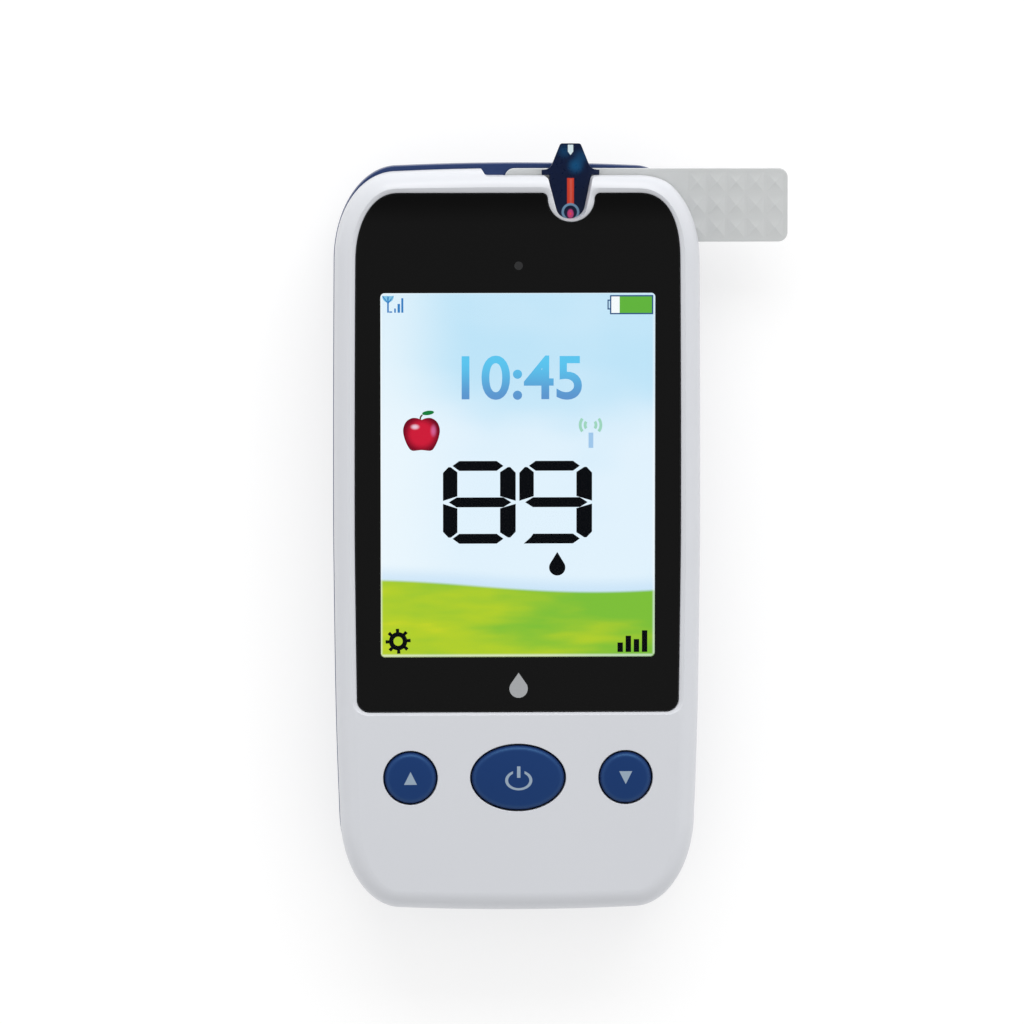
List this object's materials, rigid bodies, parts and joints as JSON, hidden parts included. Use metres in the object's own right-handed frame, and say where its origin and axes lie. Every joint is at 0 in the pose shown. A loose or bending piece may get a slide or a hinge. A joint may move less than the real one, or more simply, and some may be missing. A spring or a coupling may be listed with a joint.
{
  "type": "blood glucose meter",
  "caption": "Hand-held blood glucose meter with a colour display, three keys, a strip port holding a test strip, a pull tab and a sliding battery door.",
  "frame": {"origin": "centre of the flat back face", "axes": "+X to the right and +Y towards the strip port, seen from the front; +Z out of the display"},
  "size_m": [0.0671, 0.1132, 0.0184],
  "materials": {
    "case_white": "satin-gloss moulded plastic",
    "case_navy": "fine-grained moulded plastic",
    "battery_wrap": "shrink wrap",
    "lens_black": "polished hard-coated acrylic, printed black from behind round the screen",
    "black_foam": "foam with adhesive faces",
    "display_metal": "pressed sheet",
    "screen": "lit liquid-crystal panel",
    "flex_film": "polyimide film",
    "key_blue": "satin-gloss moulded plastic",
    "spring_steel": "pressed spring steel",
    "board_green": "glass-fibre board with solder mask",
    "black_nylon": "moulded",
    "gold_contact": "gold-plated",
    "strip_navy": "printed film",
    "tab_clear": "milky translucent sheet, embossed",
    "plated_steel": "tin plated",
    "card_white": "smooth",
    "antenna_ceramic": "ceramic block",
    "clear_plastic": "polished",
    "screw_steel": "blackened"
  },
  "bodies": {
    "case": {"front_shell": "case_white", "back_shell": "case_navy", "battery_pack": "battery_wrap", "display_lens": "lens_black", "lens_gasket": "black_foam", "display_frame": "display_metal", "display_panel": "screen", "display_flex": "flex_film", "up_dome": "spring_steel", "power_dome": "spring_steel", "down_dome": "spring_steel", "main_board": "board_green", "strip_connector": "black_nylon", "strip_contacts": "gold_contact", "backup_cell": "plated_steel", "cell_contact": "gold_contact", "battery_contacts": "gold_contact", "modem_shield": "plated_steel", "sim_holder": "plated_steel", "sim_card": "card_white", "processor": "black_nylon", "buzzer": "black_nylon", "antenna": "antenna_ceramic", "usb_socket": "plated_steel", "light_sensor": "black_nylon", "light_pipe": "clear_plastic", "case_screws": "screw_steel", "board_screws": "screw_steel"},
    "up_key": {"up_button": "key_blue"},
    "power_key": {"power_button": "key_blue"},
    "down_key": {"down_button": "key_blue"},
    "strip": {"test_strip": "strip_navy"},
    "tab": {"pull_tab": "tab_clear"},
    "door": {"battery_door": "case_navy"}
  },
  "joints": [
    {"name": "up_press", "type": "slide", "parent": "case", "child": "up_key", "axis": [0, 0, -1], "range_m": [0, 0.0004], "stiffness_N_per_m": 2500, "deforming": ["up_dome"]},
    {"name": "power_press", "type": "slide", "parent": "case", "child": "power_key", "axis": [0, 0, -1], "range_m": [0, 0.0004], "stiffness_N_per_m": 2500, "deforming": ["power_dome"]},
    {"name": "down_press", "type": "slide", "parent": "case", "child": "down_key", "axis": [0, 0, -1], "range_m": [0, 0.0004], "stiffness_N_per_m": 2500, "deforming": ["down_dome"]},
    {"name": "strip_slide", "type": "slide", "parent": "case", "child": "strip", "axis": [0, 1, 0], "range_m": [0, 0.027]},
    {"name": "tab_slide", "type": "slide", "parent": "case", "child": "tab", "axis": [1, 0, 0], "range_m": [0, 0.03]},
    {"name": "door_slide", "type": "slide", "parent": "case", "child": "door", "axis": [0, -1, 0], "range_m": [0, 0.052]}
  ]
}
